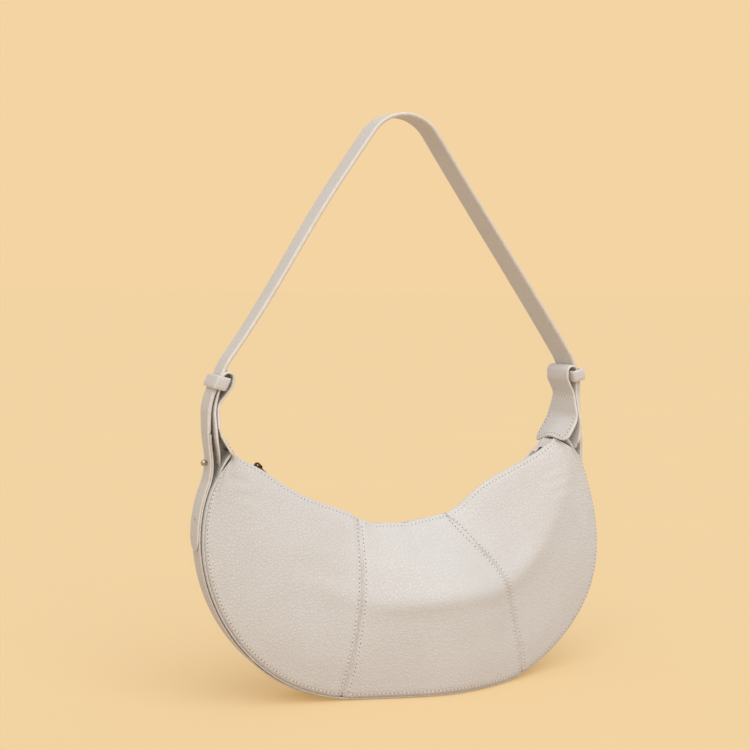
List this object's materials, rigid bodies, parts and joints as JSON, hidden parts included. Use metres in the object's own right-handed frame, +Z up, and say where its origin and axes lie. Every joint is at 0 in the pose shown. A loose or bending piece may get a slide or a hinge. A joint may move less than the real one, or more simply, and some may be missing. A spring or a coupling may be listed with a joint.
{
  "type": "half moon shoulder bag",
  "caption": "Crescent leather shoulder bag with panelled front and back, zipped curved mouth, folded ear tabs with keepers and an arched shoulder strap held by ball studs",
  "frame": {"origin": "middle of the flat base, on the table", "axes": "+X to the bag's right as seen from the front, -Y to the front, +Z up to the top of the strap"},
  "size_m": [0.3604, 0.104, 0.475],
  "materials": {
    "leather_cream": "cream pebbled full-grain leather, semi-matt, light painted edges",
    "lining_cloth": "plain woven cotton lining",
    "zip_tape_cloth": "woven herringbone zip tape",
    "zip_metal": "dark gunmetal plating",
    "stud_metal": "pale nickel, satin"
  },
  "bodies": {
    "bag": {"gusset_base": "leather_cream", "gusset_left": "leather_cream", "gusset_right": "leather_cream", "front_panel_left": "leather_cream", "front_panel_centre": "leather_cream", "front_panel_right": "leather_cream", "back_panel_left": "leather_cream", "back_panel_centre": "leather_cream", "back_panel_right": "leather_cream", "lining_front": "lining_cloth", "lining_back": "lining_cloth", "lining_base": "lining_cloth", "zip_tape_front": "zip_tape_cloth", "zip_tape_back": "zip_tape_cloth", "zip_teeth_front": "zip_metal", "zip_teeth_back": "zip_metal", "zip_stop_left": "zip_metal", "zip_stop_right": "zip_metal", "ear_tab_left": "leather_cream", "ear_tab_right": "leather_cream", "strap_keeper_left": "leather_cream", "strap_keeper_right": "leather_cream", "strap_tail_left": "leather_cream", "strap_tail_right": "leather_cream", "side_strap_left": "leather_cream", "side_strap_right": "leather_cream", "strap_stud_left": "stud_metal", "strap_stud_right": "stud_metal", "stud_screw_left": "stud_metal", "stud_screw_right": "stud_metal"},
    "strap": {"shoulder_strap": "leather_cream"},
    "slider": {"zip_slider": "zip_metal"},
    "pull": {"zip_pull": "zip_metal"}
  },
  "joints": [
    {"name": "strap_swing", "type": "hinge", "parent": "bag", "child": "strap", "pos_m": [0, 0, 0.28134], "axis": [1, 0, 0], "range_deg": [-85, 85]},
    {"name": "zip_slider_travel", "type": "hinge", "parent": "bag", "child": "slider", "pos_m": [0, 0, 0.338], "axis": [0, -1, 0], "range_deg": [0, 77]},
    {"name": "zip_pull_flip", "type": "hinge", "parent": "slider", "child": "pull", "pos_m": [-0.13189, 0, 0.19153], "axis": [0, -1, 0], "range_deg": [0, 135]}
  ]
}
